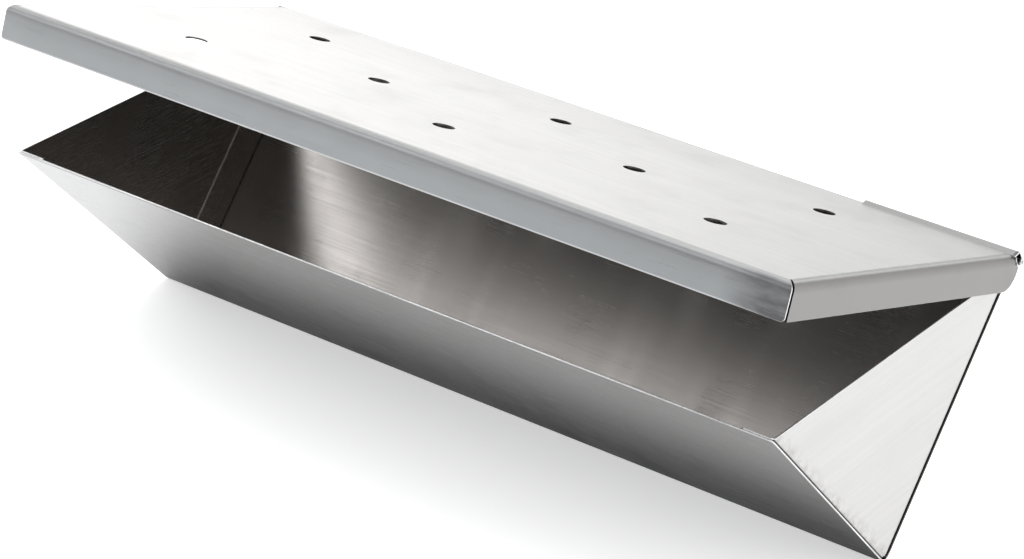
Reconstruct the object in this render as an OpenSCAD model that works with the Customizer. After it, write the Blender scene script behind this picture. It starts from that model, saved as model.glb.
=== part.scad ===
// V-shaped smoker box: a folded sheet trough, two flanged end panels and a vented lid on a wire hinge.
// Millimetres. +X runs along the box, +Y points to the hinge, +Z up. The origin is the middle of the ridge.

/* [Trough] */
// Length of the trough, end to end
trough_l = 324.8; // [200:0.1:450]
// Width across the rim, outside the two walls
rim_w = 152.6; // [110:0.1:220]
// Distance from the ridge back to the rear rim
ridge_back = 71.2; // [45:0.1:95]
// Height from the sharp corner of the ridge up to the rim
vee_depth = 85.7; // [60:0.1:130]
// Outer radius of the fold along the ridge
fold_r = 2.5; // [1.8:0.1:6]
// Thickness of the steel sheet
sheet_t = 0.6; // [0.4:0.05:1]

/* [End panels] */
// Width of the flanges that lie inside the trough walls
seam_w = 12; // [6:0.5:25]
// Outer radius of the bends between a panel and its flanges
seam_r = 1.5; // [1.2:0.1:4]
// Gap between a flange and the wall that it is welded to
seam_gap = 0.05; // [0.02:0.01:0.2]
// How far a panel stands inside the ends of the walls
panel_inset = 0.4; // [0:0.1:3]
// Gap between the fold of the ridge and the start of a panel's bends
fold_relief = 0.3; // [0.2:0.1:2]

/* [Lid] */
// Height of the flanges, from the top face to their lower edge
flange_h = 13.1; // [8:0.1:25]
// Outer radius of the bends of the lid
lid_r = 3; // [1.5:0.1:5]
// Gap between the side flanges and the ends of the trough
side_clearance = 2; // [0.5:0.1:6]
// Gap between the front flange and the front rim when the lid is shut
front_clearance = 7.7; // [3:0.1:20]
// Open gap at the front corners of the lid
corner_gap = 1.2; // [0.3:0.1:2]
// Radius of the rear lower corners of the side flanges
tail_r = 8; // [3:0.5:9]
// Radius of the lower corners of the front flange
toe_r = 1.5; // [0.5:0.1:5]
// Angle that the lid stands open
open_angle = 18.7; // [0:0.1:110]

/* [Vents] */
// Diameter of the vent holes
vent_d = 8; // [4.5:0.1:14]
// Distance between the columns of vents, along the lid
vent_pitch = 55.8; // [25:0.1:70]
// Distance between the rows of vents, across the lid
vent_row = 37; // [15:0.1:50]
// Distance from the rear edge of the lid to the rear row
vent_back = 38.9; // [20:0.1:60]
// How far the pattern lies to the right of the middle
vent_shift = -4; // [-15:0.5:15]

/* [Hinge] */
// Diameter of the hinge wire
pin_d = 2.4; // [1.6:0.1:4]
// Radial clearance of the knuckles on the wire
pin_clearance = 0.08; // [0.03:0.01:0.1]
// Height of the centre of the wire over the rim
pin_rise = 3.5; // [3.2:0.1:8]
// How far the wire stands out of the lid at each end
pin_end = 1; // [0.2:0.1:5]
// Length of each knuckle of the lid
tab_l = 62; // [20:0.5:90]
// Gap beside each knuckle
slit = 0.8; // [0.4:0.1:3]
// Height of the top face of the lid over the centre of the wire
lid_rise = 2.3; // [2:0.1:4]
// Gap between the rear edge of the lid and the knuckle of the trough
edge_clearance = 0.3; // [0.2:0.05:1]
// How far the loop of the right lid knuckle reaches up from the wire
loop_rise = 1.7; // [1:0.1:3]
// How far the loop of the right lid knuckle reaches forward from the wire
loop_lean = 2; // [1:0.1:4]
// Angle left open between the rolled end of the trough knuckle and its wall
roll_gap = 60; // [50:1:100]

/* [Hidden] */
$fn = 96;

// One overrun for every cut
cut_over = 5;

// Steps in the outline of the ridge fold and of the trough's rolled knuckle
fold_steps = 12;
roll_steps = 48;

// Slopes of the two walls, measured from upright
ridge_front = rim_w - ridge_back;
front_slope = atan(ridge_front / vee_depth);
back_slope = atan(ridge_back / vee_depth);
half_vee = (front_slope + back_slope) / 2;
bisector = 90 + (front_slope - back_slope) / 2;

// The sharp corner of the ridge, set so that the rounded fold rests on z = 0
fold_reach = fold_r / sin(half_vee);
corner_z = fold_r - fold_reach * sin(bisector);
fold_centre = [fold_reach * cos(bisector), fold_r];
rim_z = corner_z + vee_depth;
front_wall_l = vee_depth / cos(front_slope);
back_wall_l = vee_depth / cos(back_slope);

// Hinge: the rear wall runs on past the rim and is tangent to its own rolled knuckle
pin_r = pin_d / 2;
bore_r = pin_r + pin_clearance;
roll_r = bore_r + sheet_t;
pin_z = rim_z + pin_rise;
pin_y = ridge_back + (pin_rise * sin(back_slope) - roll_r) / cos(back_slope);
hinge_wall_l = pin_y * sin(back_slope) + (pin_z - corner_z) * cos(back_slope);

// Lid, in a frame whose origin is the centre of the wire and whose top face is level
lid_l = trough_l + 2 * (side_clearance + sheet_t);
lid_half = lid_l / 2;
lid_front = pin_y + ridge_front + front_clearance + sheet_t;
edge_y = -sqrt(pow(roll_r + edge_clearance, 2) - pow(lid_rise - sheet_t, 2));
tab_y = -loop_lean - bore_r - sheet_t / 2;
tab_start = lid_half - tab_l;
middle_half = tab_start - slit;
skirt_z = lid_rise - flange_h;
bend_y = -(lid_front - lid_r);
bend_z = lid_rise - lid_r;

// End panels, inside the walls by the sheet and the seam gap
seat_inset = sheet_t + seam_gap;
seat_reach = seat_inset / sin(half_vee);
seat_corner = [seat_reach * cos(bisector), corner_z + seat_reach * sin(bisector)];
panel_x = trough_l / 2 - panel_inset;

// The bends of a panel start just above the fold of the ridge, where a folded blank has its relief
seam_start = (fold_r - sheet_t) / tan(half_vee) + fold_relief;

// A flat outline in Y and Z, drawn out along X
module along_x(from, to) {
    translate([from, 0, 0])
        rotate([90, 0, 90])
            linear_extrude(height = to - from)
                children();
}

// A wedge from the origin, between two angles less than half a turn apart
module wedge(reach, from, to) {
    middle = (from + to) / 2;
    polygon([
        [0, 0],
        [reach * cos(from), reach * sin(from)],
        [reach * cos(middle), reach * sin(middle)],
        [reach * cos(to), reach * sin(to)]
    ]);
}

// The cross-section of a bend in the sheet
module bend(outer_r, from, to) {
    intersection() {
        difference() {
            circle(r = outer_r);
            circle(r = outer_r - sheet_t);
        }
        wedge(2 * outer_r, from, to);
    }
}

// Points of an arc, both ends included
function arc(centre, r, from, to, steps) = [
    for (i = [0:steps])
        let (angle = from + (to - from) * i / steps)
            centre + r * [cos(angle), sin(angle)]
];

// A point a distance up the slope of a wall and a depth into its sheet
function on_back(up, depth) =
    [up * sin(back_slope) - depth * cos(back_slope), corner_z + up * cos(back_slope) + depth * sin(back_slope)];

function on_front(up, depth) =
    [depth * cos(front_slope) - up * sin(front_slope), corner_z + up * cos(front_slope) + depth * sin(front_slope)];

// The folded sheet from the front rim, round the ridge and up into the roll, whose inside is still full
function sheet_outline() = concat(
    [on_front(front_wall_l, 0)],
    arc(fold_centre, fold_r, 180 + front_slope, 360 - back_slope, fold_steps),
    arc([pin_y, pin_z], roll_r, -back_slope, 360 - roll_gap - back_slope, roll_steps),
    [[pin_y, pin_z]],
    [on_back(hinge_wall_l, sheet_t)],
    arc(fold_centre, fold_r - sheet_t, 360 - back_slope, 180 + front_slope, fold_steps),
    [on_front(front_wall_l, sheet_t)]
);

// The rear wall ends at the rim beside the knuckle, to leave room for the knuckles of the lid
module trough() {
    color([0.62, 0.61, 0.6])
        difference() {
            along_x(-trough_l / 2, trough_l / 2)
                polygon(sheet_outline());
            along_x(-trough_l / 2, trough_l / 2)
                translate([pin_y, pin_z])
                    circle(r = bore_r);
            for (side = [0, 1])
                mirror([side, 0, 0])
                    translate([middle_half, 0, rim_z])
                        cube([trough_l / 2, rim_w, pin_rise + roll_r + cut_over]);
        }
}

// A frame with Z up the slope of a wall and Y square to it, pointing into the trough
module on_back_wall() {
    translate([0, seat_corner[0], seat_corner[1]])
        rotate([-back_slope, 0, 0])
            mirror([0, 1, 0])
                children();
}

module on_front_wall() {
    translate([0, seat_corner[0], seat_corner[1]])
        rotate([front_slope, 0, 0])
            children();
}

// A flange, its bend and a margin of the face, drawn out up the slope of the wall that they lie on
module seam_strip(wall_l) {
    translate([0, 0, seam_start])
        linear_extrude(height = wall_l) {
            translate([panel_x - seam_w, 0])
                square([seam_w - seam_r, sheet_t]);
            translate([panel_x - seam_r, seam_r])
                bend(seam_r, -90, 0);
            translate([panel_x - sheet_t, seam_r])
                square([sheet_t, sheet_t]);
        }
}

// The flat of the panel, which overlaps the margins of its strips
module panel_face() {
    face_reach = (seat_inset + seam_r + sheet_t / 2) / sin(half_vee);
    face_corner = [face_reach * cos(bisector), corner_z + face_reach * sin(bisector)];
    face_h = rim_z + cut_over - face_corner[1];
    along_x(panel_x - sheet_t, panel_x)
        polygon([
            face_corner,
            face_corner + face_h * [tan(back_slope), 1],
            face_corner + face_h * [-tan(front_slope), 1]
        ]);
}

module end_panel() {
    color([0.86, 0.86, 0.85])
        difference() {
            union() {
                panel_face();
                on_back_wall()
                    seam_strip(back_wall_l);
                on_front_wall()
                    seam_strip(front_wall_l);
            }
            translate([panel_x - seam_w - cut_over, -rim_w, rim_z])
                cube([seam_w + 2 * cut_over, 2 * rim_w, rim_w]);
        }
}

module end_panel_right() {
    end_panel();
}

module end_panel_left() {
    mirror([1, 0, 0])
        end_panel();
}

// The top sheet, cut back where the two knuckles roll up
module lid_top() {
    translate([-(lid_half - lid_r), bend_y, lid_rise - sheet_t])
        cube([lid_l - 2 * lid_r, tab_y - bend_y, sheet_t]);
    translate([-middle_half, bend_y, lid_rise - sheet_t])
        cube([2 * middle_half, edge_y - bend_y, sheet_t]);
}

module front_flange() {
    difference() {
        along_x(-lid_half, lid_half) {
            translate([bend_y, bend_z])
                bend(lid_r, 90, 180);
            translate([-lid_front, skirt_z])
                square([sheet_t, flange_h - lid_r]);
        }
        for (side = [-1, 1])
            translate([side * (lid_half - toe_r), cut_over - lid_front, skirt_z + toe_r])
                toe_cut(side);
    }
}

// What is cut off a lower corner of the front flange to round it
module toe_cut(side) {
    rotate([90, 0, 0])
        linear_extrude(height = 2 * cut_over)
            difference() {
                translate([min(0, side * 2 * toe_r), -2 * toe_r])
                    square(2 * toe_r);
                circle(r = toe_r);
            }
}

// The flange at the right end, which stops level with the wire and has a rounded tail
module side_flange() {
    flat_y = -(lid_front - sheet_t - corner_gap);
    along_x(lid_half - sheet_t, lid_half)
        difference() {
            translate([flat_y, skirt_z])
                square([-flat_y, flange_h - lid_r]);
            translate([-tail_r, skirt_z + tail_r])
                difference() {
                    translate([0, -2 * tail_r])
                        square(2 * tail_r);
                    circle(r = tail_r);
                }
        }
    translate([lid_half - lid_r, 0, bend_z])
        rotate([90, 0, 0])
            linear_extrude(height = -bend_y - corner_gap)
                bend(lid_r, 0, 90);
}

// The left knuckle: the sheet runs on level over the wire and closes into a ring round it
module ring_outline() {
    over_wire = bore_r / 2;
    circle(r = roll_r);
    translate([tab_y - sheet_t, lid_rise - sheet_t])
        square([over_wire - tab_y + sheet_t, sheet_t]);
}

// The right knuckle: a slot with round ends, from the wire up to the far end of its loop
module loop_outline(r) {
    loop_l = norm([loop_lean, loop_rise]);
    circle(r = r);
    translate([-loop_lean, loop_rise])
        circle(r = r);
    rotate(180 - atan(loop_rise / loop_lean))
        translate([0, -r])
            square([loop_l, 2 * r]);
}

module vents() {
    for (column = [-2:2])
        for (row = column % 2 == 0 ? [0, 2] : [1])
            translate([vent_shift + column * vent_pitch, edge_y - vent_back - row * vent_row, lid_rise - cut_over])
                cylinder(h = 2 * cut_over, d = vent_d);
}

module level_lid() {
    difference() {
        union() {
            lid_top();
            front_flange();
            side_flange();
            mirror([1, 0, 0])
                side_flange();
            along_x(tab_start, lid_half)
                loop_outline(roll_r);
            along_x(-lid_half, -tab_start)
                ring_outline();
        }
        along_x(tab_start - slit / 2, lid_half + cut_over)
            loop_outline(bore_r);
        along_x(-lid_half - cut_over, slit / 2 - tab_start)
            circle(r = bore_r);
        vents();
    }
}

module lid() {
    color([0.85, 0.85, 0.83])
        translate([0, pin_y, pin_z])
            rotate([-open_angle, 0, 0])
                level_lid();
}

module hinge_pin() {
    color([0.5, 0.5, 0.5])
        translate([-lid_half - pin_end, pin_y, pin_z])
            rotate([0, 90, 0])
                cylinder(h = lid_l + 2 * pin_end, r = pin_r);
}

trough();
end_panel_left();
end_panel_right();
lid();
hinge_pin();
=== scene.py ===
# V-shaped smoker box: the looks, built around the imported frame.
# Lengths are millimetres and turn into metres as a mesh is made or a mark is placed.
# X runs along the box, Y from the front to the hinge, Z up.

import math

import bmesh
import bpy
from mathutils import Matrix, Vector
from mathutils.geometry import delaunay_2d_cdt


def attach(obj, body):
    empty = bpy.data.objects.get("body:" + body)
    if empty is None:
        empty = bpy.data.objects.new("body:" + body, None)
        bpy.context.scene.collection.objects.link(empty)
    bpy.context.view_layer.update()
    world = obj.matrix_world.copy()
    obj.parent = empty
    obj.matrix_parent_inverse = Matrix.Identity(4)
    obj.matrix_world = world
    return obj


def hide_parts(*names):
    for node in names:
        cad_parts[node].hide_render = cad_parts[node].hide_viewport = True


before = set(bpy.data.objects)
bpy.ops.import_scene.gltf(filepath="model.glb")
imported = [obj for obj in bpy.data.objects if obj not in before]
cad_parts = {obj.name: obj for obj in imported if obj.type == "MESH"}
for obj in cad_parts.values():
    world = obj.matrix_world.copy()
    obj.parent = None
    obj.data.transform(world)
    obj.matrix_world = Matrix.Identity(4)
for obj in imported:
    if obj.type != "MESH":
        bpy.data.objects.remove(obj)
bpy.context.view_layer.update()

MM = 0.001
WELD_DISTANCE = 0.002

# Sizes of the part, as the frame has them. Those of the lid and its tabs count from the axis of the wire,
# with the lid turned level.
SHEET_T = 0.6
TROUGH_L = 324.8
RIDGE_FRONT = 81.4
RIDGE_BACK = 71.2
VEE_DEPTH = 85.7
FOLD_R = 2.5
SEAM_W = 12
SEAM_R = 1.5
SEAM_GAP = 0.05
PANEL_INSET = 0.4
FOLD_RELIEF = 0.3
LID_HALF = 165
LID_FRONT = 161.364
FLANGE_H = 13.1
LID_R = 3
CORNER_GAP = 1.2
TAIL_R = 8
TOE_R = 1.5
OPEN_ANGLE = math.radians(18.7)
VENT_D = 8
VENT_PITCH = 55.8
VENT_ROW = 37
VENT_BACK = 38.9
VENT_SHIFT = -4
PIN_R = 1.2
ROLL_R = 1.88
PIN_RISE = 3.5
PIN_END = 1
PIN_CHAMFER = 0.25
TAB_START = 103
MIDDLE_HALF = 102.2
LID_RISE = 2.3
EDGE_Y = -1.365
LOOP_RISE = 1.7
LOOP_LEAN = 2
ROLL_GAP = math.radians(60)

# Small shapes that only the dressed sheets have, on the lid counted from the axis of the wire
TAB_SLOPE = math.radians(30)
TAB_CREASE_R = 1.5
TAB_CREST = math.radians(120)
TAB_TURN_END = math.radians(-175)
RING_END = math.radians(-195)
RING_DIP = 3.5
RIM_CORNER_R = 1.8
BEND_RELIEF = 0.4
SLIT_FRONT = 0.12
SIDE_BEND_END_Y = -3.3
TAIL_NOTCH = ((-1.75, -1.2), (-1.1, -1.75), (0, -2.05))

# Fineness of the curves, and the broken edges
SHADING_MARGIN = 0.5
BEND_STEPS = 10
ROLL_STEPS = 36
CIRCLE_STEPS = 48
CORNER_STEPS = 4
CIRCULAR = 0.5
EDGE_ROUND = 0.24
EDGE_STEPS = 2
SHARP_ANGLE = math.radians(40)

# The map that the grain follows, and how far a face has to look along X to count as a side
GRAIN_MAP = "grain"
SIDE_FACING = 0.05

# Material slots of a piece, after the one for its outside
EDGE_SLOT = 1
INSIDE_SLOT = 2

# Slopes and places worked out from the sizes
FRONT_SLOPE = math.atan2(RIDGE_FRONT, VEE_DEPTH)
BACK_SLOPE = math.atan2(RIDGE_BACK, VEE_DEPTH)
HALF_VEE = (FRONT_SLOPE + BACK_SLOPE) / 2
BISECTOR = math.pi / 2 + (FRONT_SLOPE - BACK_SLOPE) / 2
FOLD_REACH = FOLD_R / math.sin(HALF_VEE)
CORNER_Z = FOLD_R - FOLD_REACH * math.sin(BISECTOR)
FOLD_CENTRE = (FOLD_REACH * math.cos(BISECTOR), FOLD_R)
RIM_Z = CORNER_Z + VEE_DEPTH
FRONT_WALL_L = VEE_DEPTH / math.cos(FRONT_SLOPE)
BACK_WALL_L = VEE_DEPTH / math.cos(BACK_SLOPE)
PIN_Z = RIM_Z + PIN_RISE
PIN_Y = RIDGE_BACK + (PIN_RISE * math.sin(BACK_SLOPE) - ROLL_R) / math.cos(BACK_SLOPE)
SEAT_INSET = SHEET_T + SEAM_GAP
SEAT_REACH = SEAT_INSET / math.sin(HALF_VEE)
SEAT_CORNER = (SEAT_REACH * math.cos(BISECTOR), CORNER_Z + SEAT_REACH * math.sin(BISECTOR))
SEAM_START = (FOLD_R - SHEET_T) / math.tan(HALF_VEE) + FOLD_RELIEF
PANEL_X = TROUGH_L / 2 - PANEL_INSET
LID_SIDE = LID_HALF - LID_R
SKIRT_Z = LID_RISE - FLANGE_H
BEND_Y = LID_R - LID_FRONT
BEND_Z = LID_RISE - LID_R

# Camera, in metres, from a fit of the box and the lid to the photograph
CAMERA_AT = (0.65868, -0.9211, 0.65379)
CAMERA_RIGHT = (0.803882, 0.593968, 0.031228)
CAMERA_DOWN = (0.300458, -0.360209, -0.883162)
CAMERA_LENS = 125.67
SENSOR_W = 36
CLIP_NEAR = 0.05
CLIP_FAR = 100

# Floor, in metres, and the light of the studio
FLOOR_HALF = 12.0
FLOOR_TONE = (0.95, 0.95, 0.95)
FLOOR_GLOW = 0.5
STUDIO_BASE = ((0.97, 0.99, 1.0), 0.32)
STUDIO_LOBES = (
    # centre of the patch, cosine where it starts, cosine where it is full, tint, strength
    ((-0.82, 0.56, 0.08), 0.765, 0.98, (1.0, 0.99, 0.98), 2.3),
    ((0.45, 0.35, 0.82), 0.3, 0.92, (1.0, 1.0, 1.0), 1.5),
    ((-0.59, -0.57, 0.57), 0.95, 0.99, (1.0, 1.0, 1.0), 2.8),
)

# Patterns in the steel: how often they change in a metre, along and across the grain where there are two
GRAIN_FINENESS = (30, 5200)
STREAK_FINENESS = (7, 520)
CLOUD_FINENESS = 14
SMUDGE_FINENESS = 45
SCUFF_FINENESS = 900
PATCH_FINENESS = 60
DIRT_FINENESS = 260
TARNISH_FINENESS = (60, 60, 240)
LIGHT_BAND_FINENESS = (42, 1.5, 1.5)

# Relief of the patterns, in metres
SCRATCH_DEPTH = 0.00002
WAVE_DEPTH = 0.00015
SCUFF_DEPTH = 0.00003

# How much the patterns change the roughness
GRAIN_GLOSS = 0.05
SMUDGE_GLOSS = 0.06
SCUFF_GLOSS = (-0.08, 0.1)

# Ramps of the marks: how much there is at their start and end, and where these lie, in millimetres from
# the place that each mark names
FADE_IN = (0.0, 1.0)
FADE_OUT = (1.0, 0.0)
REAR_HALF_SPAN = (1, 3)
FRONT_HALF_SPAN = (-1.5, 1.5)
FRONT_SHADE_FADE = (1.0, 0.3)
REFLECTION_SPAN = (-207, -139)
REFLECTION_SLANT = 0.7
RIM_LINE_TOP = (-0.9, -0.6)
RIM_LINE_FOOT = (-1.8, -1.4)
RIM_LINE_X = (-120, -20)
INNER_SHADE_X = (-112, -25)
WALL_END_SPAN = (-0.5, 0.5)
GRIME_AND_SHADE_SPAN = (0.35, 0.95)
SEAM_DIRT_SPAN = (0, 7)
FREE_EDGE_SPAN = (0.3, 0.8)
SIDE_TONE_SPAN = (-1.2, -0.1)
SIDE_BEND_SPAN = (-1.6, -0.7)
SIDE_BEND_HEIGHT = (-1.5, 0.5)
FLANGE_TONE_SPAN = (0.2, 0.7)
HIGHLIGHT_BEND_FRONT = (0.5, 0.75)
HIGHLIGHT_BEND_REAR = (1.3, 2)
BELOW_BEND_SPAN = (0.3, 0.7)
BELOW_BEND_HEIGHT = (-6.5, -0.5)
DULL_BEND_SPAN = (0.15, 0.6)
DULL_BEND_HEIGHT = (-1.6, 1.2)
LIP_SPAN = (1, 1.5)
LIP_HEIGHT = (0.35, 0.6)
TARNISH_SPAN = (0.1, 2)
TARNISH_X = (138, 158)
REAR_SHADE_SPAN = (-60, 0)
REAR_SHADE_FADE = (0.0, 0.45)
REAR_LINE_SPAN = (-1.4, -0.8)
REAR_LINE_ENDS = (-1, 0)
LEFT_LINE_SPAN = (2.2, 5)
LEFT_LINE_FADE = (0.85, 0.0)
LEFT_LINE_HEIGHT = (1, 2)
CORNER_SHADE_FRONT = (-0.6, -0.5)
CORNER_SHADE_REAR = (1, 2)
VENTS_FRONT = (25, 30)
VENTS_REAR = (-30, -25)
VENTS_SIDES = (-25, -20)

# Tones that several marks or materials share
# Near black: weld grime with painted shade in the panel grooves, and painted shade in the open corners of
# the lid
GRIME_AND_SHADE = (0.035, 0.032, 0.03)
# Painted shade, for the wall ends beside the panels, the free flange edges and the vent rims
PAINTED_SHADE_TONE = (0.11, 0.105, 0.10)
CUT_DARK = (0.5, 0.5, 0.5)
CUT_LIGHT = (0.72, 0.72, 0.72)
CUT_ROUGH = 0.3

# Ways that the grain runs
ALONG_X = 0
ALONG_Y = 1


# Points in the plane of Y and Z


def polar(centre, r, angle):
    """The point at an angle and a distance from a centre."""
    return (centre[0] + r * math.cos(angle), centre[1] + r * math.sin(angle))


def arc(centre, r, start, end, steps):
    """Evenly spaced points on an arc, with both of its ends."""
    return [polar(centre, r, start + (end - start) * i / steps) for i in range(steps + 1)]


def toward(a, b, distance):
    """The point at a distance from one point on the way to another."""
    share = distance / math.dist(a, b)
    return (a[0] + (b[0] - a[0]) * share, a[1] + (b[1] - a[1]) * share)


def on_back(up, depth=0):
    """A point up the rear wall and inwards from its outer face."""
    y = up * math.sin(BACK_SLOPE) - depth * math.cos(BACK_SLOPE)
    return (y, CORNER_Z + up * math.cos(BACK_SLOPE) + depth * math.sin(BACK_SLOPE))


def on_front(up, depth=0):
    """A point up the front wall and inwards from its outer face."""
    y = depth * math.cos(FRONT_SLOPE) - up * math.sin(FRONT_SLOPE)
    return (y, CORNER_Z + up * math.cos(FRONT_SLOPE) + depth * math.sin(FRONT_SLOPE))


# Meshes


def strip(bm, lines):
    """Quads between neighbouring lines of 3D points, all of one length."""
    rows = [[bm.verts.new(p) for p in line] for line in lines]
    for a, b in zip(rows, rows[1:]):
        for i in range(len(a) - 1):
            bm.faces.new((a[i], a[i + 1], b[i + 1], b[i]))


def along_x(bm, path, columns):
    """The sheet that a path in Y and Z sweeps through the given places along X."""
    strip(bm, [[(x, y, z) for y, z in path] for x in columns])


def weld(bm):
    """Joins points that coincide and turns neighbouring faces alike."""
    bmesh.ops.remove_doubles(bm, verts=bm.verts, dist=WELD_DISTANCE)
    bmesh.ops.recalc_face_normals(bm, faces=bm.faces)


def face_toward(bm, point, direction):
    """Turns every face the same way, so that the one nearest the point looks in the direction."""
    weld(bm)
    nearest = min(bm.faces, key=lambda f: (f.calc_center_median() - Vector(point)).length)
    nearest.normal_update()
    if nearest.normal.dot(Vector(direction)) < 0:
        bmesh.ops.reverse_faces(bm, faces=bm.faces)


def lay_grain(bm, side_across):
    """A map whose first coordinate runs across the grain, as on the flat blank before it was folded.

    On faces that look along X, the axis given is the one across the grain.
    """
    layer = bm.loops.layers.uv.new(GRAIN_MAP)
    bm.normal_update()
    for face in bm.faces:
        n = face.normal
        side = abs(n.x) > SIDE_FACING
        for loop in face.loops:
            x, y, z = loop.vert.co
            if side:
                loop[layer].uv = (y, x + z) if side_across == "Y" else (z, y)
            else:
                loop[layer].uv = (y if abs(n.z) > abs(n.y) else z, x)


def finish_mesh(bm, name, place=Matrix.Identity(4)):
    """Puts a mesh in its place, in metres, and makes a smooth piece of it."""
    bmesh.ops.transform(bm, matrix=Matrix.Scale(MM, 4) @ place, verts=bm.verts)
    mesh = bpy.data.meshes.new(name)
    bm.to_mesh(mesh)
    bm.free()
    mesh.polygons.foreach_set("use_smooth", [True] * len(mesh.polygons))
    piece = bpy.data.objects.new(name, mesh)
    bpy.context.scene.collection.objects.link(piece)
    return piece


def soften(piece):
    """Breaks the sharp edges of a piece a little."""
    rounding = piece.modifiers.new("broken edges", "BEVEL")
    rounding.width = EDGE_ROUND * MM
    rounding.segments = EDGE_STEPS
    rounding.limit_method = "ANGLE"
    rounding.angle_limit = SHARP_ANGLE
    rounding.harden_normals = True
    rounding.material = EDGE_SLOT


def make_sheet(piece, outside, edge, inside):
    """Gives a folded surface its thickness, inwards, and breaks its cut edges a little."""
    for material in (outside, edge, inside):
        piece.data.materials.append(material)
    solid = piece.modifiers.new("thickness", "SOLIDIFY")
    solid.thickness = SHEET_T * MM
    solid.offset = -1
    solid.use_even_offset = True
    solid.use_quality_normals = True
    solid.material_offset_rim = EDGE_SLOT
    solid.material_offset = INSIDE_SLOT
    soften(piece)


# The trough, one folded sheet


def trough_paths():
    """The outside of the sheet up to the rear rim, and the stretch from there round the wire."""
    rim_front = on_front(FRONT_WALL_L)
    fold = arc(FOLD_CENTRE, FOLD_R, math.pi + FRONT_SLOPE, 2 * math.pi - BACK_SLOPE, 2 * BEND_STEPS)
    rim_back = on_back(BACK_WALL_L)
    roll = arc((PIN_Y, PIN_Z), ROLL_R, -BACK_SLOPE, 2 * math.pi - ROLL_GAP - BACK_SLOPE, ROLL_STEPS)
    lower = [rim_front, toward(fold[0], rim_front, SHADING_MARGIN)] + fold
    lower += [toward(fold[-1], rim_back, SHADING_MARGIN), rim_back]
    upper = [rim_back, toward(roll[0], rim_back, SHADING_MARGIN)] + roll
    return lower, upper


def round_corners(bm, places):
    """Rounds the corners of the sheet that lie at the places."""
    corners = [min(bm.verts, key=lambda v: (v.co - Vector(p)).length) for p in places]
    bmesh.ops.bevel(bm, geom=corners, offset=RIM_CORNER_R, segments=CORNER_STEPS, profile=CIRCULAR,
                    affect="VERTICES")


def build_trough():
    """Front wall, ridge fold, rear wall and the knuckle, which fills the middle of the rear rim."""
    bm = bmesh.new()
    lower, upper = trough_paths()
    half = TROUGH_L / 2
    along_x(bm, lower, [-half, -MIDDLE_HALF, MIDDLE_HALF, half])
    along_x(bm, upper, [-MIDDLE_HALF, MIDDLE_HALF])
    middle = on_front(FRONT_WALL_L / 2)
    face_toward(bm, (0, *middle), (0, -1, -1))
    round_corners(bm, [(side * half, *on_front(FRONT_WALL_L)) for side in (-1, 1)])
    lay_grain(bm, "Y")
    return finish_mesh(bm, "trough_sheet")


# The end panels, with two flanges each


def panel_section():
    """Places along X and depths above the wall, from the free edge of the flange to the face."""
    free_edge = PANEL_X - SEAM_W
    centre = (PANEL_X - SEAM_R, SEAM_R)
    bend = arc(centre, SEAM_R, -math.pi / 2, 0, BEND_STEPS)
    return [(free_edge, 0), (bend[0][0] - SHADING_MARGIN, 0)] + bend


def seat(wall, up, depth):
    """A point up a wall and above its inner face, where a flange of a panel lies."""
    y, z = wall(up, depth)
    return (y + SEAT_CORNER[0], z + SEAT_CORNER[1] - CORNER_Z)


def panel_lines(wall):
    """The flange and bend on one wall. Each line runs from the relief at the ridge up to the rim."""
    lines = []
    for x, depth in panel_section():
        low, foot, unit_up = seat(wall, SEAM_START, depth), seat(wall, 0, depth), seat(wall, 1, depth)
        direction = (unit_up[0] - foot[0], unit_up[1] - foot[1])
        share = (RIM_Z - low[1]) / direction[1]
        high = (low[0] + share * direction[0], RIM_Z)
        lines.append([(x, *low), (x, *high)])
    return lines


def inner_margin(lines, toward_y):
    """A line on the face a little inside the bend, which keeps the shading of the flat even."""
    low, high = lines[-1]
    return [(low[0], low[1] + toward_y, low[2]), (high[0], high[1] + toward_y, high[2])]


def build_panel(name, mirror):
    """A triangular face between two bent flanges. The right panel is built, the left one mirrors it."""
    bm = bmesh.new()
    back, front = panel_lines(on_back), panel_lines(on_front)
    tip_reach = (SEAT_INSET + SEAM_R) / math.sin(HALF_VEE)
    tip = (PANEL_X, *polar((0, CORNER_Z), tip_reach, BISECTOR))
    back_in, front_in = inner_margin(back, -SHADING_MARGIN), inner_margin(front, SHADING_MARGIN)
    strip(bm, back + [back_in])
    strip(bm, front + [front_in])
    corners = (tip, front[-1][0], front_in[0], front_in[1], back_in[1], back_in[0], back[-1][0])
    bm.faces.new([bm.verts.new(p) for p in corners])
    middle_z = RIM_Z * 2 / 3
    face_toward(bm, (PANEL_X, 0, middle_z), (1, 0, 0))
    if mirror:
        bmesh.ops.scale(bm, vec=(-1, 1, 1), verts=bm.verts)
        bmesh.ops.reverse_faces(bm, faces=bm.faces)
    lay_grain(bm, "Z")
    return finish_mesh(bm, name)


# The lid, one blank with two rolled tabs, drawn level with the wire at the origin


def tab_path():
    """The outside of the right tab, from the flat of the lid up over the loop and round the wire."""
    far = (-LOOP_LEAN, LOOP_RISE)
    crest = polar(far, ROLL_R, TAB_CREST)
    crease_top_z = LID_RISE + TAB_CREASE_R * (1 - math.cos(TAB_SLOPE))
    crease_top_y = crest[0] - (crest[1] - crease_top_z) / math.tan(TAB_SLOPE)
    crease_y = crease_top_y - TAB_CREASE_R * math.sin(TAB_SLOPE)
    crease_centre = (crease_y, LID_RISE + TAB_CREASE_R)
    square = math.pi / 2
    crease = arc(crease_centre, TAB_CREASE_R, -square, TAB_SLOPE - square, BEND_STEPS // 2)
    lean = math.atan2(LOOP_RISE, -LOOP_LEAN)
    over = arc(far, ROLL_R, TAB_CREST, lean - square, BEND_STEPS)
    round_wire = arc((0, 0), ROLL_R, lean - square, lean - 3 * square, ROLL_STEPS // 2)
    under = arc(far, ROLL_R, lean - 3 * square, TAB_TURN_END, BEND_STEPS // 2)
    return crease + over + round_wire + under


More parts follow.
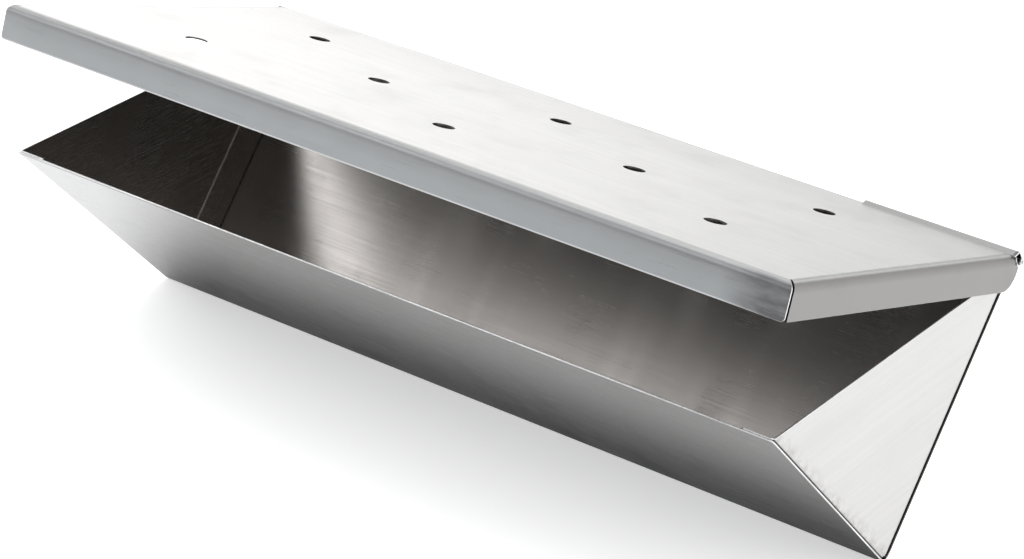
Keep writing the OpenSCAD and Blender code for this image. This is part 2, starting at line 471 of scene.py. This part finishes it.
def ring_path(crease_y):
    """The outside of the left tab, which dips a little and closes into a ring round the wire."""
    ring = arc((0, 0), ROLL_R, math.pi / 2, RING_END, ROLL_STEPS)
    shares = [i / BEND_STEPS for i in range(BEND_STEPS)]
    drop = (LID_RISE - ROLL_R) / 2
    dip = [(RING_DIP * (s - 1), LID_RISE - drop * (1 - math.cos(math.pi * s))) for s in shares]
    return [(crease_y, LID_RISE)] + dip + ring


def past(path, y):
    """The rest of a path from where it first passes a line across."""
    first = next(i for i, point in enumerate(path) if point[0] > y)
    return path[first:]


def vent_centres():
    """Three, two and three vents: five columns that hold two and one of them by turns."""
    for column in range(-2, 3):
        for row in (0, 2) if column % 2 == 0 else (1,):
            yield (VENT_SHIFT + column * VENT_PITCH, EDGE_Y - VENT_BACK - row * VENT_ROW)


def top_outline(crease_y):
    """The flat of the lid seen from above, with the two narrow slits beside the tabs."""
    slit_x = TAB_START - SLIT_FRONT
    right = [(LID_SIDE, crease_y), (TAB_START, crease_y), (slit_x, crease_y), (MIDDLE_HALF, EDGE_Y)]
    left = [(-x, y) for x, y in reversed(right)]
    return [(-LID_SIDE, BEND_Y), (LID_SIDE, BEND_Y)] + right + left


def top_margins(crease_y):
    """Lines a little inside the edges of the flat, which keep its shading even."""
    side = LID_SIDE - SHADING_MARGIN
    front, rear = BEND_Y + SHADING_MARGIN, crease_y - SHADING_MARGIN
    return [(-side, front), (side, front), (side, rear), (-side, rear)]


def add_top(bm, crease_y):
    """The flat of the lid with its vents, cut into faces that keep every outline."""
    points, edges = [], []
    loops = [top_outline(crease_y), top_margins(crease_y)]
    loops += [arc(c, VENT_D / 2, 0, 2 * math.pi, CIRCLE_STEPS)[:-1] for c in vent_centres()]
    for loop in loops:
        first = len(points)
        points += [Vector(p) for p in loop]
        edges += [(first + i, first + (i + 1) % len(loop)) for i in range(len(loop))]
    outline = list(range(len(loops[0])))
    inside_only, tolerance = 1, 1e-6
    places, _, faces = delaunay_2d_cdt(points, edges, [outline], inside_only, tolerance)[:3]
    verts = [bm.verts.new((p.x, p.y, LID_RISE)) for p in places]
    for face in faces:
        middle = sum((places[i] for i in face), Vector((0, 0))) / len(face)
        if all((middle - Vector(c)).length > VENT_D / 2 for c in vent_centres()):
            bm.faces.new([verts[i] for i in face])


def corner_shares():
    """How far each line of a bend reaches into the corner of the lid, from the top down."""
    return [math.sin(math.pi / 2 * i / BEND_STEPS) for i in range(BEND_STEPS + 1)]


def add_front_flange(bm):
    """The front bend and flange, whose ends reach past the flat of the top into the open corners."""
    bend = arc((BEND_Y, BEND_Z), LID_R, math.pi / 2, math.pi, BEND_STEPS)
    knee = SKIRT_Z + TOE_R
    flat = [(-LID_FRONT, BEND_Z - SHADING_MARGIN), (-LID_FRONT, knee)]
    along_x(bm, bend + flat, [-LID_SIDE, LID_SIDE])
    reach_x = [LID_SIDE + LID_R * share for share in corner_shares()] + [LID_HALF] * len(flat)
    for sign in (-1, 1):
        inner = [(sign * LID_SIDE, y, z) for y, z in bend + flat]
        strip(bm, [inner, [(sign * x, y, z) for x, (y, z) in zip(reach_x, bend + flat)]])
    toe = arc((LID_HALF - TOE_R, knee), TOE_R, 0, -math.pi / 2, BEND_STEPS // 2)
    right = [bm.verts.new((x, -LID_FRONT, z)) for x, z in toe]
    left = [bm.verts.new((-x, -LID_FRONT, z)) for x, z in reversed(toe)]
    inner = [bm.verts.new((x, -LID_FRONT, knee)) for x in (-LID_SIDE, LID_SIDE)]
    bm.faces.new([left[-1], inner[0], inner[1], right[0]] + right[1:] + left[:-1])


def add_side_flange(bm, sign):
    """A side bend and flange, from the open front corner to the round tail beside the wire."""
    flat_y = SHEET_T + CORNER_GAP - LID_FRONT
    neck_z = BEND_Z - SHADING_MARGIN
    bend = arc((LID_SIDE, BEND_Z), LID_R, math.pi / 2, 0, BEND_STEPS)
    bend_start_y = BEND_Y + BEND_RELIEF
    starts = [bend_start_y + share * (flat_y - bend_start_y) for share in corner_shares()]
    rows = zip(bend + [(LID_HALF, neck_z)], starts + [flat_y])
    strip(bm, [[(sign * x, y, z), (sign * x, SIDE_BEND_END_Y, z)] for (x, z), y in rows])
    tail = arc((-TAIL_R, SKIRT_Z + TAIL_R), TAIL_R, 0, -math.pi / 2, BEND_STEPS)
    outline = [(flat_y, neck_z), (SIDE_BEND_END_Y, neck_z), *TAIL_NOTCH]
    outline += tail + [(flat_y, SKIRT_Z)]
    bm.faces.new([bm.verts.new((sign * LID_HALF, y, z)) for y, z in outline])


def build_lid():
    """Top, flanges and tabs in one sheet, turned open round the wire."""
    bm = bmesh.new()
    path = tab_path()
    crease_y = path[0][0]
    add_top(bm, crease_y)
    add_front_flange(bm)
    ring = ring_path(crease_y)
    for sign, tab, corner in ((-1, ring, past(ring, SIDE_BEND_END_Y)), (1, path, path)):
        add_side_flange(bm, sign)
        along_x(bm, tab, [sign * TAB_START, sign * LID_SIDE])
        along_x(bm, corner, [sign * LID_SIDE, sign * LID_HALF])
    face_toward(bm, (0, BEND_Y / 2, LID_RISE), (0, 0, 1))
    lay_grain(bm, "Y")
    place = Matrix.Translation((0, PIN_Y, PIN_Z)) @ Matrix.Rotation(-OPEN_ANGLE, 4, "X")
    return finish_mesh(bm, "lid_sheet", place)


# The hinge wire


def build_wire():
    """A round bar with chamfered ends, turned about the axis of the hinge."""
    bm = bmesh.new()
    end = LID_HALF + PIN_END
    tip = [(end, 0), (end, PIN_R - PIN_CHAMFER)]
    half = tip + [(end - PIN_CHAMFER, PIN_R), (end - 2 * PIN_CHAMFER, PIN_R)]
    section = half + [(-x, r) for x, r in reversed(half)]
    rows = []
    for x, r in section:
        circle = arc((PIN_Y, PIN_Z), r, 0, 2 * math.pi, CIRCLE_STEPS)
        rows.append([(x, y, z) for y, z in circle])
    strip(bm, rows)
    weld(bm)
    return finish_mesh(bm, "hinge_wire")


# Materials


class Nodes:
    """A small helper that adds nodes to one tree and links them."""

    # Sockets of the node that mixes colours, whose names are shared by those for numbers
    MIX_SHARE = 0
    MIX_A = 6
    MIX_B = 7
    MIX_RESULT = 2

    def __init__(self, tree):
        self.tree = tree
        tree.nodes.clear()

    def add(self, kind, values=None, **settings):
        """A node with settings, and with a number or another node's output at each named input."""
        node = self.tree.nodes.new(kind)
        for key, value in settings.items():
            setattr(node, key, value)
        for key, value in (values or {}).items():
            if isinstance(value, bpy.types.NodeSocket):
                self.tree.links.new(value, node.inputs[key])
            else:
                node.inputs[key].default_value = value
        return node

    def noise(self, place, fineness, detail=2.0, rough=0.5):
        """Noise from about 0.3 to 0.7, with one fineness for all directions or one for each."""
        scale = fineness if isinstance(fineness, tuple) else (fineness,) * 3
        moved = self.add("ShaderNodeMapping", {"Vector": place, "Scale": scale})
        values = {"Vector": moved.outputs[0], "Scale": 1.0, "Detail": detail, "Roughness": rough}
        return self.add("ShaderNodeTexNoise", values).outputs["Fac"]

    def ranged(self, value, low, high, start=0.3, end=0.7):
        """A straight ramp from low to high while the value runs from start to end."""
        values = {"Value": value, "From Min": start, "From Max": end, "To Min": low, "To Max": high}
        return self.add("ShaderNodeMapRange", values).outputs[0]

    def math(self, operation, a, b):
        """One step of arithmetic with two values."""
        return self.add("ShaderNodeMath", {0: a, 1: b}, operation=operation).outputs[0]

    def product(self, first, *others):
        """All the values multiplied."""
        total = first
        for share in others:
            total = self.math("MULTIPLY", total, share)
        return total

    def ramp(self, place, direction, origin, span, values=FADE_IN):
        """A smooth ramp over a span along a direction, counted in millimetres from the origin."""
        along = self.add("ShaderNodeVectorMath", {0: place, 1: direction}, operation="DOT_PRODUCT")
        low, high = ((origin + end) * MM for end in span)
        ends = {"Value": along.outputs["Value"], "From Min": low, "From Max": high}
        ends["To Min"], ends["To Max"] = values
        return self.add("ShaderNodeMapRange", ends, interpolation_type="SMOOTHSTEP").outputs[0]

    def mixed(self, share, a, b):
        """The colour a, as far as the share is low, and b where it is high."""
        values = {self.MIX_SHARE: share, self.MIX_A: a, self.MIX_B: b}
        return self.add("ShaderNodeMix", values, data_type="RGBA").outputs[self.MIX_RESULT]

    def marked(self, tone, place, marks):
        """The tone with marks laid over it, one after the other."""
        for mark, colour in marks:
            tone = self.mixed(mark(self, place), tone, (*colour, 1))
        return tone


def new_material(name):
    """A material with an empty tree, and the place in the object that its patterns follow."""
    material = bpy.data.materials.new(name)
    material.use_nodes = True
    n = Nodes(material.node_tree)
    return material, n, n.add("ShaderNodeTexCoord").outputs["Object"]


def grain_scale(axis, fineness):
    """The fineness for each direction, where one of them runs along the grain."""
    along, across = fineness
    return tuple(along if i == axis else across for i in range(3))


def brushed_steel(name, dark, light, grain, rough, anisotropy, grain_depth, marks=(), grazing=1.0):
    """Brushed sheet: fine scratches along one axis, wider streaks, faint clouds and handling marks."""
    material, n, place = new_material(name)
    fine = n.noise(place, grain_scale(grain, GRAIN_FINENESS), detail=3.0, rough=0.6)
    streak = n.noise(place, grain_scale(grain, STREAK_FINENESS), detail=3.0, rough=0.6)
    cloud = n.noise(place, CLOUD_FINENESS)
    smudge = n.noise(place, SMUDGE_FINENESS, detail=4.0, rough=0.65)
    tone = n.mixed(n.ranged(streak, 0.0, 1.0, start=0.25, end=0.75), (*dark, 1), (*light, 1))
    tone = n.mixed(n.ranged(fine, 0.0, 0.35, start=0.35, end=0.75), tone, (*light, 1))
    tone = n.mixed(n.ranged(cloud, 0.0, 0.3, start=0.45, end=0.75), tone, (*dark, 1))
    tone = n.marked(tone, place, marks)
    spread = n.ranged(fine, rough - GRAIN_GLOSS, rough + GRAIN_GLOSS)
    gloss = n.math("ADD", spread, n.ranged(smudge, 0.0, SMUDGE_GLOSS, start=0.5, end=0.75))
    values = {"Height": fine, "Strength": grain_depth, "Distance": SCRATCH_DEPTH}
    scratch = n.add("ShaderNodeBump", values)
    values = {"Height": cloud, "Strength": 1.0, "Distance": WAVE_DEPTH, "Normal": scratch.outputs[0]}
    wave = n.add("ShaderNodeBump", values)
    tangent = n.add("ShaderNodeTangent", direction_type="UV_MAP", uv_map=GRAIN_MAP)
    values = {"Base Color": tone, "Metallic": 1.0, "Roughness": gloss, "Anisotropic": anisotropy}
    values["Normal"] = wave.outputs[0]
    values["Tangent"] = tangent.outputs[0]
    values["Specular Tint"] = (grazing, grazing, grazing, 1)
    shader = n.add("ShaderNodeBsdfPrincipled", values)
    n.add("ShaderNodeOutputMaterial", {"Surface": shader.outputs[0]})
    return material


def cut_steel(name, dark=CUT_DARK, light=CUT_LIGHT, rough=CUT_ROUGH, marks=()):
    """Sheared edges and wire: short scuffs over a tone that changes in patches, and a few marks."""
    material, n, place = new_material(name)
    scuffs = n.noise(place, SCUFF_FINENESS, detail=3.0, rough=0.6)
    patch = n.noise(place, PATCH_FINENESS, detail=3.0)
    tone = n.mixed(n.ranged(patch, 0.0, 1.0), (*dark, 1), (*light, 1))
    tone = n.marked(tone, place, marks)
    gloss = n.ranged(scuffs, rough + SCUFF_GLOSS[0], rough + SCUFF_GLOSS[1])
    bump = n.add("ShaderNodeBump", {"Height": scuffs, "Strength": 0.3, "Distance": SCUFF_DEPTH})
    values = {"Base Color": tone, "Metallic": 1.0, "Roughness": gloss, "Normal": bump.outputs[0]}
    shader = n.add("ShaderNodeBsdfPrincipled", values)
    n.add("ShaderNodeOutputMaterial", {"Surface": shader.outputs[0]})
    return material


# Directions and places that the marks count from

X_AXIS = (1, 0, 0)
Y_AXIS = (0, 1, 0)
UP_FRONT = (0, -math.sin(FRONT_SLOPE), math.cos(FRONT_SLOPE))
INTO_FRONT = (0, math.cos(FRONT_SLOPE), math.sin(FRONT_SLOPE))
INTO_BACK = (0, -math.cos(BACK_SLOPE), math.sin(BACK_SLOPE))
LID_BACKWARD = (0, math.cos(OPEN_ANGLE), -math.sin(OPEN_ANGLE))
LID_UPWARD = (0, math.sin(OPEN_ANGLE), math.cos(OPEN_ANGLE))


def reach(direction, y, z):
    """How far a place in Y and Z lies along a direction."""
    return direction[1] * y + direction[2] * z


RIDGE_UP = reach(UP_FRONT, 0, CORNER_Z)
RIM_UP = RIDGE_UP + FRONT_WALL_L
FRONT_FACE = reach(LID_BACKWARD, PIN_Y, PIN_Z) - LID_FRONT
REAR_EDGE = reach(LID_BACKWARD, PIN_Y, PIN_Z) + EDGE_Y
VENTS_END = reach(LID_BACKWARD, PIN_Y, PIN_Z)
BEND_FOOT = reach(LID_UPWARD, PIN_Y, PIN_Z) + BEND_Z
SKIRT_FOOT = reach(LID_UPWARD, PIN_Y, PIN_Z) + SKIRT_Z
CORNER_GAP_END = FRONT_FACE + SHEET_T + CORNER_GAP


def front_half(n, place):
    """The half of the trough before the ridge."""
    return n.ramp(place, Y_AXIS, 0, FRONT_HALF_SPAN, FADE_OUT)


def toward_ends(n, place, x, span):
    """The two ends of the box, beyond a ramp at x that counts outwards."""
    low, high = span
    right = n.ramp(place, X_AXIS, x, span)
    left = n.ramp(place, X_AXIS, -x, (-high, -low), FADE_OUT)
    return n.math("MAXIMUM", right, left)


def between_ends(n, place, x, span):
    """The middle of the box, within a ramp at x that counts outwards."""
    low, high = span
    right = n.ramp(place, X_AXIS, x, span, FADE_OUT)
    left = n.ramp(place, X_AXIS, -x, (-high, -low))
    return n.product(left, right)


def lid_front(n, place, span, values=FADE_OUT):
    """The front of the lid, up to a ramp that counts from the face of its front flange."""
    return n.ramp(place, LID_BACKWARD, FRONT_FACE, span, values)


def above_bend(n, place, span):
    """The top of the lid, from a ramp that counts from the foot of its bends."""
    return n.ramp(place, LID_UPWARD, BEND_FOOT, span)


# Marks on the trough: each is a share of its colour at a place


def lower_front_painted_shade(n, place):
    """The front wall is painted darker towards the ridge: painted shade, for the shadowed floor that it
    reflects there.
    """
    height = n.ramp(place, UP_FRONT, RIDGE_UP, (0, FRONT_WALL_L), FRONT_SHADE_FADE)
    return n.product(height, front_half(n, place))


def left_front_painted_reflection(n, place):
    """The left end of the front wall is painted brighter, up to a slanting line: a painted reflection of
    the lit floor beyond that end.
    """
    slant = (1, *(-REFLECTION_SLANT * v for v in UP_FRONT[1:]))
    near = n.ramp(place, slant, reach(slant, 0, CORNER_Z), REFLECTION_SPAN, FADE_OUT)
    return n.product(near, front_half(n, place))


def rim_line(n, place):
    """A faint brownish line just below the front rim, which fades from the left end on."""
    above = n.ramp(place, UP_FRONT, RIM_UP, RIM_LINE_FOOT)
    below = n.ramp(place, UP_FRONT, RIM_UP, RIM_LINE_TOP, FADE_OUT)
    left = n.ramp(place, X_AXIS, 0, RIM_LINE_X, FADE_OUT)
    return n.product(above, below, left, front_half(n, place))


def inner_wall_painted_shade(n, place):
    """Darker steel inside, from the left third of the trough on: painted shade, for the dimmer reflection
    there.
    """
    return n.ramp(place, X_AXIS, 0, INNER_SHADE_X)


def painted_light_bands(n, place):
    """Broad pale bands up the walls: painted streaks of reflected light."""
    return n.ranged(n.noise(place, LIGHT_BAND_FINENESS), 0.0, 0.35, start=0.5, end=0.72)


def wall_end_painted_shade(n, place):
    """The strip of a wall beside the end panels, painted dark: painted shade in the corner where the wall
    meets a panel.
    """
    return toward_ends(n, place, PANEL_X - SEAM_R, WALL_END_SPAN)


def rear_half(n, place):
    """The cut edges behind the ridge."""
    return n.ramp(place, Y_AXIS, 0, REAR_HALF_SPAN)


# Marks on the end panels


def seam_dirt(n, place):
    """Brownish stains that spread a little from the front seam."""
    near = n.ramp(place, INTO_FRONT, reach(INTO_FRONT, *SEAT_CORNER), SEAM_DIRT_SPAN, FADE_OUT)
    patches = n.noise(place, DIRT_FINENESS, detail=4.0, rough=0.65)
    return n.product(near, n.ranged(patches, 0.0, 0.8, start=0.42))


def seam_grime_and_shade(n, place):
    """Dark weld grime at the foot of the bends of an end panel, with painted shade in the groove there.
    """
    front, back = [
        n.ramp(place, inward, reach(inward, *SEAT_CORNER), GRIME_AND_SHADE_SPAN, FADE_OUT)
        for inward in (INTO_FRONT, INTO_BACK)]
    return n.math("MAXIMUM", front, back)


def free_edges_painted_shade(n, place):
    """The free edges of the flanges, deep in the trough, painted dark: painted shade."""
    return between_ends(n, place, PANEL_X - SEAM_W, FREE_EDGE_SPAN)


# Marks on the lid


def rear_painted_shade(n, place):
    """The top of the lid is painted a little darker towards the hinge: painted shade."""
    return n.ramp(place, LID_BACKWARD, REAR_EDGE, REAR_SHADE_SPAN, REAR_SHADE_FADE)


def rear_line(n, place):
    """A dull line along the rear edge of the lid, between the tabs."""
    near = n.ramp(place, LID_BACKWARD, REAR_EDGE, REAR_LINE_SPAN)
    return n.product(near, between_ends(n, place, MIDDLE_HALF, REAR_LINE_ENDS))


def left_bend_painted_shade(n, place):
    """A darker line where the top of the lid turns down at its left end: painted shade on the start of
    the bend.
    """
    near = n.ramp(place, X_AXIS, -LID_HALF, LEFT_LINE_SPAN, LEFT_LINE_FADE)
    return n.product(near, above_bend(n, place, LEFT_LINE_HEIGHT))


def side_flange_painted_shade(n, place):
    """Both side flanges are painted darker than the top: painted shade."""
    return toward_ends(n, place, LID_HALF, SIDE_TONE_SPAN)


def side_bend_shade(n, place):
    """A dull band along the bends of the side flanges."""
    ends = toward_ends(n, place, LID_HALF, SIDE_BEND_SPAN)
    return n.product(ends, above_bend(n, place, SIDE_BEND_HEIGHT))


def bend_painted_highlight(n, place):
    """The upper half of the front bend of the lid, painted bright: a painted highlight."""
    behind = lid_front(n, place, HIGHLIGHT_BEND_FRONT, FADE_IN)
    return n.product(behind, lid_front(n, place, HIGHLIGHT_BEND_REAR))


def front_flange_painted_shade(n, place):
    """The front flange is painted a little darker and cooler than the top: painted shade, tinted cool."""
    return lid_front(n, place, FLANGE_TONE_SPAN)


def below_bend_painted_shade(n, place):
    """The front flange darkens a little towards its bend: painted shade."""
    return n.product(lid_front(n, place, BELOW_BEND_SPAN), above_bend(n, place, BELOW_BEND_HEIGHT))


def bend_shade(n, place):
    """A dull band along the lower half of the front bend of the lid."""
    return n.product(lid_front(n, place, DULL_BEND_SPAN), above_bend(n, place, DULL_BEND_HEIGHT))


def lip_painted_highlight(n, place):
    """The lowest line of the front flange, painted bright: a painted highlight."""
    low = n.ramp(place, LID_UPWARD, SKIRT_FOOT, LIP_HEIGHT, FADE_OUT)
    return n.product(lid_front(n, place, LIP_SPAN), low)


def flange_tarnish(n, place):
    """A cloudy patch near the right end of the front flange."""
    end = n.ramp(place, X_AXIS, 0, TARNISH_X)
    cloud = n.noise(place, TARNISH_FINENESS, detail=3.0, rough=0.6)
    cloudy = n.ranged(cloud, 0.55, 1.0, start=0.35, end=0.6)
    return n.product(lid_front(n, place, TARNISH_SPAN), end, cloudy)


def corner_gap_painted_shade(n, place):
    """The front cut edges of the side flanges, deep in the open corners of the lid, painted near black:
    painted shade.
    """
    behind = n.ramp(place, LID_BACKWARD, CORNER_GAP_END, CORNER_SHADE_FRONT)
    ahead = n.ramp(place, LID_BACKWARD, CORNER_GAP_END, CORNER_SHADE_REAR, FADE_OUT)
    return n.product(behind, ahead)


def vent_rim_painted_shade(n, place):
    """The rims of the vents, the only cut edges away from the borders of the lid, painted dark: painted
    shade in the holes.
    """
    behind = lid_front(n, place, VENTS_FRONT, FADE_IN)
    ahead = n.ramp(place, LID_BACKWARD, VENTS_END, VENTS_REAR, FADE_OUT)
    return n.product(behind, ahead, between_ends(n, place, LID_HALF, VENTS_SIDES))


# The object


def dress(piece, node, body):
    """Puts a piece in the place of a node of the frame."""
    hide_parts(node)
    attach(piece, body)


def dress_trough():
    outside = brushed_steel(
        "brushed_trough", (0.42, 0.41, 0.408), (0.48, 0.47, 0.468),
        grain=ALONG_X, rough=0.30, anisotropy=0.85, grain_depth=0.4, grazing=0.72,
        marks=(
            # Painted shade: the front wall darkens towards the ridge.
            (lower_front_painted_shade, (0.02, 0.02, 0.021)),
            # Painted reflection: the left end of the front wall is brighter.
            (left_front_painted_reflection, (0.7, 0.7, 0.705)),
            (rim_line, (0.2, 0.165, 0.155)),
        ))
    edge = cut_steel("cut_edges_trough", marks=((rear_half, (0.16, 0.155, 0.15)),))
    # The inside is a darker, warmer copy of the outside steel: painted shade.
    inside = brushed_steel(
        "brushed_trough_inside_painted_shade", (0.32, 0.305, 0.292), (0.355, 0.34, 0.327),
        grain=ALONG_X, rough=0.22, anisotropy=0.88, grain_depth=0.08,
        marks=(
            # Painted shade: the inner walls are darker from the left third on.
            (inner_wall_painted_shade, (0.235, 0.222, 0.212)),
            # Painted light: pale streaks of reflection up the inner walls.
            (painted_light_bands, (0.36, 0.345, 0.33)),
            # Painted shade in the corners where the inner walls meet the end panels.
            (wall_end_painted_shade, PAINTED_SHADE_TONE),
        ))
    trough = build_trough()
    make_sheet(trough, outside, edge, inside)
    dress(trough, "trough", "trough_body")


def dress_panels():
    outside = brushed_steel(
        "brushed_panels", (0.48, 0.477, 0.473), (0.535, 0.532, 0.527),
        grain=ALONG_Y, rough=0.32, anisotropy=0.8, grain_depth=0.3,
        marks=(
            (seam_dirt, (0.30, 0.285, 0.265)),
            # Weld grime and painted shade in the grooves at the foot of the panel bends.
            (seam_grime_and_shade, GRIME_AND_SHADE),
        ))
    # Painted shade on the free flange edges deep in the trough.
    edge = cut_steel("cut_edges_panels", marks=((free_edges_painted_shade, PAINTED_SHADE_TONE),))
    # The inside is a darker copy of the panel steel: painted shade.
    inside = brushed_steel(
        "brushed_panels_inside_painted_shade", (0.31, 0.285, 0.27), (0.345, 0.32, 0.305),
        grain=ALONG_Y, rough=0.28, anisotropy=0.85, grain_depth=0.06)
    for side, mirror in (("left", True), ("right", False)):
        panel = build_panel("end_panel_" + side + "_sheet", mirror)
        make_sheet(panel, outside, edge, inside)
        dress(panel, "end_panel_" + side, "trough_body")


def dress_lid():
    outside = brushed_steel(
        "brushed_lid", (0.46, 0.457, 0.452), (0.53, 0.527, 0.522),
        grain=ALONG_X, rough=0.32, anisotropy=0.85, grain_depth=0.3,
        marks=(
            # Painted shade: the top darkens towards the hinge.
            (rear_painted_shade, (0.42, 0.417, 0.413)),
            (rear_line, (0.35, 0.347, 0.343)),
            # Painted shade on the start of the left bend.
            (left_bend_painted_shade, (0.34, 0.338, 0.33)),
            # Painted shade: the side flanges are darker than the top.
            (side_flange_painted_shade, (0.25, 0.245, 0.24)),
            (side_bend_shade, (0.215, 0.211, 0.205)),
            # Painted highlight on the upper half of the front bend.
            (bend_painted_highlight, (0.66, 0.662, 0.663)),
            # Painted shade, tinted cool, on the front flange.
            (front_flange_painted_shade, (0.365, 0.377, 0.386)),
            # Painted shade on the flange just below the front bend.
            (below_bend_painted_shade, (0.325, 0.334, 0.342)),
            (bend_shade, (0.235, 0.239, 0.243)),
            # Painted highlight along the lowest line of the front flange.
            (lip_painted_highlight, (0.62, 0.63, 0.64)),
            (flange_tarnish, (0.14, 0.142, 0.145)),
        ))
    # Painted shade on the cut edges in the open corners of the lid.
    # Painted shade on the rims of the vents.
    edge = cut_steel("cut_edges_lid", marks=((corner_gap_painted_shade, GRIME_AND_SHADE), (vent_rim_painted_shade, PAINTED_SHADE_TONE)))
    # The underside is a much darker copy of the lid steel: painted shade.
    inside = brushed_steel(
        "brushed_lid_inside_painted_shade", (0.2, 0.193, 0.187), (0.255, 0.247, 0.24),
        grain=ALONG_X, rough=0.32, anisotropy=0.85, grain_depth=0.3)
    lid = build_lid()
    make_sheet(lid, outside, edge, inside)
    dress(lid, "lid", "lid_body")


def dress_wire():
    side = cut_steel("drawn_wire", dark=(0.2, 0.2, 0.205), light=(0.36, 0.36, 0.36), rough=0.32)
    edge = cut_steel("cut_edges")
    pin = build_wire()
    pin.data.materials.append(side)
    pin.data.materials.append(edge)
    soften(pin)
    dress(pin, "hinge_pin", "trough_body")


# The floor, the light and the camera


def background_rays(n):
    """One for the rays that see the background: from the camera, in a reflection or through glass."""
    rays = n.add("ShaderNodeLightPath").outputs
    seen = n.math("MAXIMUM", rays["Is Camera Ray"], rays["Is Glossy Ray"])
    return n.math("MAXIMUM", seen, rays["Is Transmission Ray"])


def build_floor():
    """A pale floor that keeps the shadow and fades into the white background."""
    bm = bmesh.new()
    corners = [(-1, -1), (1, -1), (1, 1), (-1, 1)]
    bm.faces.new([bm.verts.new((x * FLOOR_HALF / MM, y * FLOOR_HALF / MM, 0)) for x, y in corners])
    floor = finish_mesh(bm, "floor")
    material = bpy.data.materials.new("pale_floor")
    material.use_nodes = True
    n = Nodes(material.node_tree)
    matt = n.add("ShaderNodeBsdfDiffuse", {"Color": (*FLOOR_TONE, 1)})
    strength = n.math("MULTIPLY", background_rays(n), FLOOR_GLOW)
    glow = n.add("ShaderNodeEmission", {"Strength": strength})
    both = n.add("ShaderNodeAddShader", {0: matt.outputs[0], 1: glow.outputs[0]})
    n.add("ShaderNodeOutputMaterial", {"Surface": both.outputs[0]})
    floor.data.materials.append(material)


def lobe(n, direction, centre, start, end, strength):
    """A soft patch of light in the studio, round a direction."""
    ways = {0: direction, 1: Vector(centre).normalized()}
    facing = n.add("ShaderNodeVectorMath", ways, operation="DOT_PRODUCT").outputs["Value"]
    values = {"Value": facing, "From Min": start, "From Max": end, "To Min": 0.0, "To Max": strength}
    return n.add("ShaderNodeMapRange", values, interpolation_type="SMOOTHSTEP").outputs[0]


def build_world():
    """An even studio with a few soft patches of light."""
    world = bpy.data.worlds.new("studio")
    bpy.context.scene.world = world
    world.use_nodes = True
    n = Nodes(world.node_tree)
    direction = n.add("ShaderNodeTexCoord").outputs["Generated"]
    tint, strength = STUDIO_BASE
    light = n.add("ShaderNodeBackground", {"Color": (*tint, 1), "Strength": strength}).outputs[0]
    for centre, start, end, tint, strength in STUDIO_LOBES:
        patch = lobe(n, direction, centre, start, end, strength)
        glow = n.add("ShaderNodeBackground", {"Color": (*tint, 1), "Strength": patch})
        light = n.add("ShaderNodeAddShader", {0: light, 1: glow.outputs[0]}).outputs[0]
    n.add("ShaderNodeOutputWorld", {"Surface": light})


def build_camera():
    """The camera of the photograph."""
    data = bpy.data.cameras.new("camera")
    data.lens = CAMERA_LENS
    data.sensor_width = SENSOR_W
    data.clip_start = CLIP_NEAR
    data.clip_end = CLIP_FAR
    camera = bpy.data.objects.new("camera", data)
    right = Vector(CAMERA_RIGHT).normalized()
    up = -Vector(CAMERA_DOWN)
    up = (up - up.dot(right) * right).normalized()
    turn = Matrix((right, up, right.cross(up))).transposed().to_4x4()
    camera.matrix_world = Matrix.Translation(CAMERA_AT) @ turn
    bpy.context.scene.collection.objects.link(camera)
    bpy.context.scene.camera = camera


dress_trough()
dress_panels()
dress_lid()
dress_wire()
build_floor()
build_world()
build_camera()
bpy.context.scene.view_settings.view_transform = "Standard"
